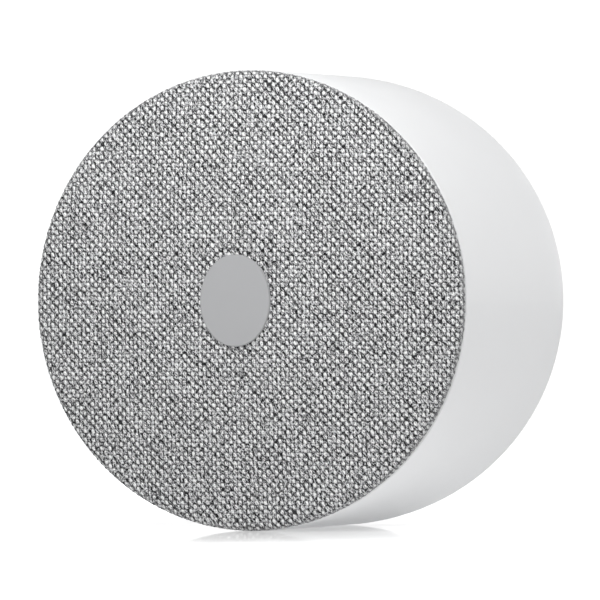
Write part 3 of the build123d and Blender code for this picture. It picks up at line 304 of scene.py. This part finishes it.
def cloth_profile():
    """Points along the stretched cloth from the crown's centre to its turned-in edge.

    Each row is arc length, radius, distance from the wall, and the outward normal's two parts."""
    turn_r = DRUM_R - RIM_ROUND
    slope = math.asin(turn_r / CROWN_R)
    rows = []
    for a in np.linspace(0, slope, 200):
        drop = CROWN_R * (1 - math.cos(a))
        rows.append((CROWN_R * math.sin(a), CLOTH_APEX - drop, math.sin(a), math.cos(a)))
    start = rows[-1]
    centre = (start[0] - RIM_ROUND * start[2], start[1] - RIM_ROUND * start[3])
    for a in np.linspace(slope, math.pi / 2, 24)[1:]:
        out, front = math.sin(a), math.cos(a)
        rows.append((centre[0] + RIM_ROUND * out, centre[1] + RIM_ROUND * front, out, front))
    side_r = rows[-1][0]
    for d in np.linspace(rows[-1][1], LIP_REAR + LIP_ROUND, 12)[1:]:
        rows.append((side_r, d, 1.0, 0.0))
    for a in np.linspace(math.pi / 2, math.pi, 8)[1:]:
        rows.append((
            side_r - LIP_ROUND + LIP_ROUND * math.sin(a),
            LIP_REAR + LIP_ROUND + LIP_ROUND * math.cos(a),
            math.sin(a),
            math.cos(a),
        ))
    for r in np.linspace(side_r - LIP_ROUND, side_r - LIP_ROUND - LIP_LENGTH, 8)[1:]:
        rows.append((r, LIP_REAR, 0.0, -1.0))
    table = np.array(rows)
    length = np.concatenate([[0], np.cumsum(np.hypot(np.diff(table[:, 0]), np.diff(table[:, 1])))])
    return np.column_stack([length, table])


def slow_wave(x, y, seed):
    """Smooth wandering between about -1 and 1, the sum of a few sines."""
    rng = np.random.default_rng(seed)
    total = np.zeros_like(x)
    for size in (26, 15, 9, 6):
        angle, phase = rng.uniform(0, 2 * np.pi, 2)
        k = 2 * np.pi / (size * MM)
        total += 0.3 * np.sin(k * (x * np.cos(angle) + y * np.sin(angle)) + phase)
    return total


def make_cloth():
    """The stretched cloth: a flat round cut wrapped over crown and rim, with its weave as relief."""
    per_thread = 3
    step = THREAD_PITCH / per_thread
    profile = cloth_profile()
    cut_r = profile[-1, 0]
    count = int(cut_r / step) + 1
    line = np.arange(-count, count + 1) * step
    across, up = np.meshgrid(line, line, indexing="ij")
    s = np.hypot(across, up)
    inside = s <= cut_r + 0.5 * step
    s_safe = np.maximum(s, 1e-9)
    cos_a, sin_a = across / s_safe, up / s_safe
    held = np.minimum(s, cut_r)
    radius, distance, n_out, n_front = (np.interp(held, profile[:, 0], profile[:, i]) for i in (1, 2, 3, 4))
    drift = 0.16 * THREAD_PITCH
    weave_u = (across + drift * slow_wave(across, up, 3)) / THREAD_PITCH
    weave_v = (up + drift * slow_wave(across, up, 8)) / THREAD_PITCH
    height = weave_height(weave_u, weave_v)
    turn = np.interp(held, profile[:, 0], np.degrees(np.arctan2(profile[:, 3], profile[:, 4])))
    edge = np.clip((turn - 30) / 50, 0, 1)
    proud = (height - WEAVE_LEVEL) * THREAD_PITCH * (1 - 0.4 * edge)
    x = (radius + proud * n_out) * cos_a
    z = (radius + proud * n_out) * sin_a
    y = -(distance + proud * n_front)
    index = -np.ones(s.shape, int)
    index[inside] = np.arange(inside.sum())
    a, b, c, d = index[:-1, :-1], index[1:, :-1], index[1:, 1:], index[:-1, 1:]
    whole = (a >= 0) & (b >= 0) & (c >= 0) & (d >= 0)
    faces = np.stack([a[whole], b[whole], c[whole], d[whole]], axis=1)
    points = np.stack([x[inside], y[inside], z[inside]], axis=1)
    weave = np.stack([weave_u[inside], weave_v[inside], edge[inside]], axis=1)
    mesh = bpy.data.meshes.new("cloth_front")
    mesh.from_pydata(points.tolist(), [], faces.tolist())
    mesh.update()
    attribute = mesh.attributes.new("weave", "FLOAT_VECTOR", "POINT")
    attribute.data.foreach_set("vector", weave.astype(np.float32).ravel())
    mesh.polygons.foreach_set("use_smooth", np.ones(len(mesh.polygons), bool))
    cloth = bpy.data.objects.new("cloth_front", mesh)
    bpy.context.scene.collection.objects.link(cloth)
    cloth.data.materials.append(cloth_material())
    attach(cloth, "case")
    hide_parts("grille_fabric")


def cloth_material():
    """Melange yarns in a plain weave: pale upright yarns, darker level ones, both flecked, with painted shade
    darkening the weave's hollows.
    """
    material, g, shader = new_material("melange_cloth")
    weave = g.node("ShaderNodeAttribute", attribute_name="weave").outputs["Vector"]
    across, up, edge = g.split(weave)
    column = g.math("FLOOR", across)
    row = g.math("FLOOR", up)
    v = g.math("WRAP", g.add(g.sub(up, 0.5), column), 1.0, -1.0)
    u = g.math("WRAP", g.add(g.add(across, 0.5), row), 1.0, -1.0)
    s = g.add(g.sub(g.sub(across, column), 0.5), g.mul(v, SLANT))
    t = g.sub(g.sub(up, row), 0.5)
    diagonal = g.add(across, up)

    def yarn(phase, side, radius):
        rise = g.mul(g.math("COSINE", g.mul(phase, math.pi)), YARN_RISE)
        half = g.math("SQRT", g.math("MAXIMUM", g.sub(g.mul(radius, radius), g.mul(side, side)), 0.0))
        return g.add(rise, g.mul(half, YARN_FLAT))

    warp = yarn(v, s, g.mul(g.sub(1.0, g.mul(v, TAPER)), WARP_R))
    groove = g.ramp(g.math("ABSOLUTE", g.math("WRAP", diagonal, 1.0, -1.0)), GROOVE_WIDTH, 0.0, smooth=False)
    weft = g.sub(yarn(u, t, WEFT_R), g.mul(groove, GROOVE))
    height = g.math("MAXIMUM", warp, weft)
    over = g.ramp(g.sub(warp, weft), -0.04, 0.04)

    # one random number for each float of each yarn
    warp_count = g.math("FLOOR", g.mul(g.add(g.add(up, column), 0.5), 0.5))
    weft_count = g.math("FLOOR", g.mul(g.add(g.add(across, row), 1.5), 0.5))
    warp_random = g.random(g.combine(column, warp_count, 11.0))
    weft_random = g.random(g.combine(weft_count, row, 23.0))

    # slubs: slow changes of tone along each yarn
    warp_slub = g.noise(g.combine(g.mul(column, 3.7), g.mul(up, 0.22), 5.0), 1.0, 2.0)
    weft_slub = g.noise(g.combine(g.mul(across, 0.13), g.mul(row, 3.1), 9.0), 1.0, 2.0)

    # fibres, twisted to lie steeply down and to the right, and broken off at each float's ends
    fibre_side = g.add(g.mul(across, FIBRE_ACROSS * FIBRE_COS), g.mul(up, FIBRE_ACROSS * FIBRE_SIN))
    fibre_run = g.sub(g.mul(across, FIBRE_ALONG * FIBRE_SIN), g.mul(up, FIBRE_ALONG * FIBRE_COS))
    warp_fibre = g.noise(g.combine(fibre_side, fibre_run, g.mul(warp_random, 50.0)), 1.0, 2.0, 0.6)
    weft_offset = g.add(g.mul(weft_random, 50.0), 80.0)
    weft_fibre = g.noise(g.combine(fibre_side, fibre_run, weft_offset), 1.0, 2.0, 0.6)

    warp_tone = g.add(g.ramp(warp_fibre, 0.36, 0.54), g.mul(g.sub(warp_random, 0.5), 0.25))
    warp_tone = g.add(warp_tone, g.mul(g.sub(warp_slub, 0.5), 0.35))
    warp_colour = g.mix(g.ramp(warp_tone, 0.0, 1.0, smooth=False), (0.17, 0.172, 0.177), (1.0, 1.0, 1.0))
    weft_tone = g.add(g.ramp(weft_fibre, 0.45, 0.60), g.mul(g.sub(weft_slub, 0.5), 0.35))
    weft_colour = g.mix(g.ramp(weft_tone, 0.0, 1.0, smooth=False), (0.012, 0.012, 0.014), (0.73, 0.735, 0.75))
    stroke_amount = g.ramp(weft_random, 0.3, 0.9, 0.0, 0.25)
    weft_colour = g.mix(g.mul(groove, stroke_amount), weft_colour, (0.015, 0.015, 0.017))
    yarn_colour = g.mix(over, weft_colour, warp_colour)
    # painted shade: the yarn colour is darkened to a tenth in the weave's low points, between and under the
    # yarns
    depth = g.ramp(height, 0.06, 0.35, 0.10, 1.0)
    shade = g.node("ShaderNodeMix", data_type="RGBA", blend_type="MULTIPLY")
    g.put(shade.inputs["Factor"], 1.0)
    g.put(shade.inputs[6], yarn_colour)
    g.put(shade.inputs[7], g.combine(depth, depth, depth))
    g.put(shader.inputs["Base Color"], g.mix(g.mul(edge, 0.5), shade.outputs[2], (0.30, 0.303, 0.31)))
    fibre = g.blend(over, weft_fibre, warp_fibre)
    relief = g.add(height, g.mul(fibre, 0.35))
    g.put(shader.inputs["Normal"], g.bump(relief, 0.8, THREAD_PITCH))
    shader.inputs["Roughness"].default_value = 0.85
    shader.inputs["Specular IOR Level"].default_value = 0.25
    shader.inputs["Sheen Weight"].default_value = 0.15
    shader.inputs["Sheen Roughness"].default_value = 0.5
    return material


# ---------------------------------------------------------------- materials of the CAD nodes
def dress_nodes():
    """Gives every CAD node that is carried over its material."""
    white = moulded(
        "white_shell", (0.86, 0.866, 0.875), roughness=0.42, grain=0.30, grain_depth=0.012, tone=0.004,
    )
    steel = rolled_metal("screw_steel", (0.62, 0.63, 0.65), 0.3)
    board = circuit_board("board_green", (0.03, 0.17, 0.09), (0.06, 0.26, 0.13))
    black_chip = moulded("chip_black", (0.03, 0.03, 0.033), roughness=0.5, grain=0.2)
    dark_plastic = moulded("grille_plastic", (0.10, 0.102, 0.105), roughness=0.55)
    black_plastic = moulded("chassis_plastic", (0.045, 0.045, 0.048), roughness=0.5)
    pole = rolled_metal("pole_steel", (0.55, 0.56, 0.58), 0.35)
    cone = moulded(
        "cone_fibre", (0.035, 0.035, 0.038), roughness=0.75, grain=0.6, grain_depth=0.08, tone=0.12,
    )
    sleeve = moulded("capacitor_sleeve", (0.03, 0.035, 0.09), roughness=0.25, grain=1.0, grain_depth=0.005)
    lead = elastic("lead_black", (0.02, 0.02, 0.022), 0.45, 2.0)
    nylon = moulded("connector_nylon", (0.78, 0.74, 0.62), roughness=0.45)
    nickel = rolled_metal("blade_nickel", (0.80, 0.78, 0.73), 0.24, along=(1, 0.06, 1), scratch=0.01)
    antenna = rolled_metal("antenna_tin", (0.80, 0.79, 0.76), 0.3, along=(1, 0.1, 1))
    acrylic, g, shader = new_material("clear_acrylic")
    g.put(shader.inputs["Roughness"], g.ramp(g.noise(g.place(), 500.0), 0.3, 0.7, 0.08, 0.16))
    shader.inputs["Base Color"].default_value = (0.92, 0.94, 0.95, 1)
    shader.inputs["Transmission Weight"].default_value = 0.9
    looks = {
        "housing": white,
        "reset_button": white,
        "plug_base": moulded(
            "base_plastic", (0.80, 0.806, 0.815), roughness=0.55, grain=0.5, grain_depth=0.03, tone=0.01,
        ),
        "badge": moulded(
            "badge_grey", (0.40, 0.403, 0.412), roughness=0.38, grain=0.25, grain_depth=0.006, tone=0.006,
        ),
        "grille_frame": dark_plastic,
        "plug_blade_line": nickel,
        "plug_blade_neutral": nickel,
        "blade_contacts": rolled_metal("spring_bronze", (0.72, 0.47, 0.26), 0.3),
        "plug_base_screws": steel,
        "power_board_screws": steel,
        "board_screws": steel,
        "chassis_screws": steel,
        "speaker_screws": steel,
        "power_board": board,
        "main_board": board,
        "transformer": moulded("transformer_tape", (0.75, 0.62, 0.10), roughness=0.35, grain=0.8),
        "bulk_capacitors": sleeve,
        "output_capacitor": sleeve,
        "fuse": moulded("fuse_brown", (0.16, 0.07, 0.03), roughness=0.3),
        "bridge_rectifier": black_chip,
        "wifi_chip": black_chip,
        "audio_amplifier": black_chip,
        "power_header": nylon,
        "speaker_connector": nylon,
        "reset_switch_plunger": nylon,
        "reset_switch": black_plastic,
        "insulating_sheet": moulded(
            "fibre_sheet", (0.20, 0.21, 0.23), roughness=0.8, grain=0.8, grain_depth=0.06, tone=0.1,
        ),
        "heat_spreader": rolled_metal("spreader_aluminium", (0.78, 0.79, 0.80), 0.35, along=(0.1, 1, 1)),
        "thermal_pad": elastic("thermal_pad", (0.30, 0.36, 0.46), 0.7),
        "rf_shield": rolled_metal("shield_tin", (0.74, 0.74, 0.75), 0.3, along=(0.1, 1, 1)),
        "status_led": moulded("led_lens", (0.92, 0.88, 0.70), roughness=0.2),
        "light_pipe": acrylic,
        "antenna_left": antenna,
        "antenna_right": antenna,
        "antenna_lead_left": lead,
        "antenna_lead_right": lead,
        "speaker_leads": lead,
        "speaker_terminals": moulded("phenolic", (0.22, 0.11, 0.05), roughness=0.45),
        "chassis": black_plastic,
        "speaker_gasket": elastic("foam_black", (0.02, 0.02, 0.02), 0.9, 0.4),
        "speaker_basket": moulded(
            "powder_coat", (0.03, 0.03, 0.033), roughness=0.45, grain=0.5, grain_depth=0.05,
        ),
        "speaker_yoke": pole,
        "speaker_top_plate": pole,
        "speaker_magnet": moulded(
            "ferrite", (0.05, 0.05, 0.055), roughness=0.6, grain=0.4, grain_depth=0.05, tone=0.1,
        ),
        "speaker_spider": moulded(
            "spider_cloth", (0.45, 0.32, 0.12), roughness=0.85, grain=0.5, grain_depth=0.1, tone=0.15,
        ),
        "speaker_surround": elastic("surround_rubber", (0.03, 0.03, 0.032), 0.55, 1.5),
        "speaker_cone": cone,
        "dust_cap": cone,
        "voice_coil": rolled_metal("coil_copper", (0.72, 0.34, 0.17), 0.3, along=(1, 8, 1)),
    }
    make_flexing("speaker_spider", looks["speaker_spider"])
    make_flexing("speaker_surround", looks["speaker_surround"])
    for name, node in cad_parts.items():
        if name in ("grille_fabric", "speaker_spider", "speaker_surround"):
            continue
        node.data.materials.clear()
        node.data.materials.append(looks[name])


# ---------------------------------------------------------------- rings cut into sectors
def make_flexing(name, material):
    """Cuts a ring into sectors by angle round the drum's axis, each its own smooth-shaded piece, and hides
    the ring."""
    sectors = 16
    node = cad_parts[name]
    points = [node.matrix_world @ v.co for v in node.data.vertices]
    shares = [[] for _ in range(sectors)]
    for face in node.data.polygons:
        middle = sum((points[i] for i in face.vertices), Vector()) / len(face.vertices)
        turn = math.atan2(middle.z, middle.x) / (2 * math.pi) % 1.0
        shares[int(turn * sectors) % sectors].append(tuple(face.vertices))
    for k, share in enumerate(shares):
        used = sorted({i for face in share for i in face})
        index = {i: n for n, i in enumerate(used)}
        mesh = bpy.data.meshes.new(f"{name}_{k}")
        mesh.from_pydata([points[i] for i in used], [], [[index[i] for i in face] for face in share])
        mesh.update()
        mesh.materials.append(material)
        mesh.polygons.foreach_set("use_smooth", np.ones(len(mesh.polygons), bool))
        sector = bpy.data.objects.new(f"{name}_{k}", mesh)
        bpy.context.scene.collection.objects.link(sector)
        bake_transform(sector)
        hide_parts(name)


# ---------------------------------------------------------------- stage
FLOOR_REACH = 6.0
CONTACT_CENTRE = (10 * MM, -30 * MM)      # the patch round the drum's line of contact
CONTACT_RADII = (22 * MM, 36 * MM)
POLISH_CENTRE = (0.0, -70 * MM)           # the polished patch in front of the drum
POLISH_RADII = (70 * MM, 90 * MM)


def elliptical_distance(g, x, y, centre, radii):
    """Distance from centre as a share of the radii."""
    from_x = g.math("DIVIDE", g.sub(x, centre[0]), radii[0])
    from_y = g.math("DIVIDE", g.sub(y, centre[1]), radii[1])
    return g.math("SQRT", g.add(g.mul(from_x, from_x), g.mul(from_y, from_y)))


def area_light(name, place, target, size, power):
    data = bpy.data.lights.new(name, "AREA")
    data.shape = "RECTANGLE"
    data.size, data.size_y = size
    data.energy = power
    light = bpy.data.objects.new(name, data)
    bpy.context.scene.collection.objects.link(light)
    light.location = place
    light.rotation_euler = (Vector(target) - Vector(place)).to_track_quat("-Z", "Y").to_euler()


def make_stage():
    """A white floor and surround, and soft light from behind, above right, and close over the front."""
    scene = bpy.context.scene
    scene.view_settings.view_transform = "Standard"
    world = bpy.data.worlds.new("studio")
    world.use_nodes = True
    scene.world = world
    g = Graph(world.node_tree)
    back = next(n for n in world.node_tree.nodes if n.type == "BACKGROUND")
    _, depth, _ = g.split(g.node("ShaderNodeTexCoord").outputs["Generated"])
    behind = g.math("MAXIMUM", depth, 0.0)
    glow = g.mul(g.mul(behind, behind), 1.36)
    seen = g.node("ShaderNodeLightPath").outputs["Is Camera Ray"]
    g.put(back.inputs["Strength"], g.blend(seen, glow, 1.1))
    back.inputs["Color"].default_value = (1, 1, 1, 1)

    mesh = bpy.data.meshes.new("floor")
    mesh.from_pydata(
        [(x * FLOOR_REACH, y * FLOOR_REACH, FLOOR_Z) for x, y in ((-1, -1), (1, -1), (1, 1), (-1, 1))],
        [],
        [(0, 1, 2, 3)],
    )
    floor = bpy.data.objects.new("floor", mesh)
    scene.collection.objects.link(floor)
    mesh.materials.append(floor_material())
    area_light("above_right", (0.5, 0.1, 0.5), (0.03, -0.03, 0), (0.4, 0.4), 1.35)
    area_light("over_front", (0.01, -0.145, 0.115), (0.01, -0.058, 0.02), (0.16, 0.08), 0.15)
    area_light("front", (0.12, -0.9, 0.4), (0, -0.03, 0), (0.6, 0.6), 3.6)
    area_light("right_behind", (0.6, 0.45, 0.1), (0.03, -0.03, 0), (0.4, 0.6), 0.65)
    area_light("top_behind", (0.1, 0.45, 0.55), (0, -0.03, 0), (0.6, 0.4), 0.13)


def floor_material():
    """White board: overexposed to the camera, so that only contact shadows show, and polished just in
    front of the drum."""
    material = bpy.data.materials.new("white_floor")
    material.use_nodes = True
    tree = material.node_tree
    tree.nodes.clear()
    g = Graph(tree)
    x, y, _ = g.split(g.place())
    away = elliptical_distance(g, x, y, CONTACT_CENTRE, CONTACT_RADII)
    seen = g.node("ShaderNodeLightPath").outputs["Is Camera Ray"]
    matt = g.node("ShaderNodeBsdfDiffuse")
    tone = g.blend(seen, 0.8, 1.0)
    g.put(matt.inputs["Color"], g.combine(tone, tone, tone))
    glow = g.node("ShaderNodeEmission")
    # painted light: for the camera the floor glows less round the drum's line of contact, so the contact
    # shadow shows there, and more far off and behind the drum, where the glow washes out the drum's cast
    # shadow
    near_glow = g.ramp(away, 0.8, 1.6, 0.42, 0.55)
    far_glow = g.math("MAXIMUM", g.ramp(away, 4.5, 8.0, 0.0, 0.5), g.ramp(y, 15 * MM, 45 * MM, 0.0, 0.5))
    g.put(glow.inputs["Strength"], g.blend(seen, 0.22, g.add(near_glow, far_glow)))
    both = g.node("ShaderNodeAddShader")
    g.put(both.inputs[0], matt.outputs[0])
    g.put(both.inputs[1], glow.outputs[0])
    gloss = g.node("ShaderNodeBsdfGlossy")
    gloss.inputs["Color"].default_value = (1, 1, 1, 1)
    g.put(gloss.inputs["Roughness"], g.ramp(g.noise(g.place(), 20.0), 0.3, 0.7, 0.05, 0.08))
    mixed = g.node("ShaderNodeMixShader")
    from_polish = elliptical_distance(g, x, y, POLISH_CENTRE, POLISH_RADII)
    g.put(mixed.inputs[0], g.mul(seen, g.ramp(from_polish, 0.25, 1.1, 0.62, 0.0)))
    g.put(mixed.inputs[1], both.outputs[0])
    g.put(mixed.inputs[2], gloss.outputs[0])
    out = g.node("ShaderNodeOutputMaterial")
    g.put(out.inputs["Surface"], mixed.outputs[0])
    return material


make_camera()
make_stage()
make_cloth()
dress_nodes()
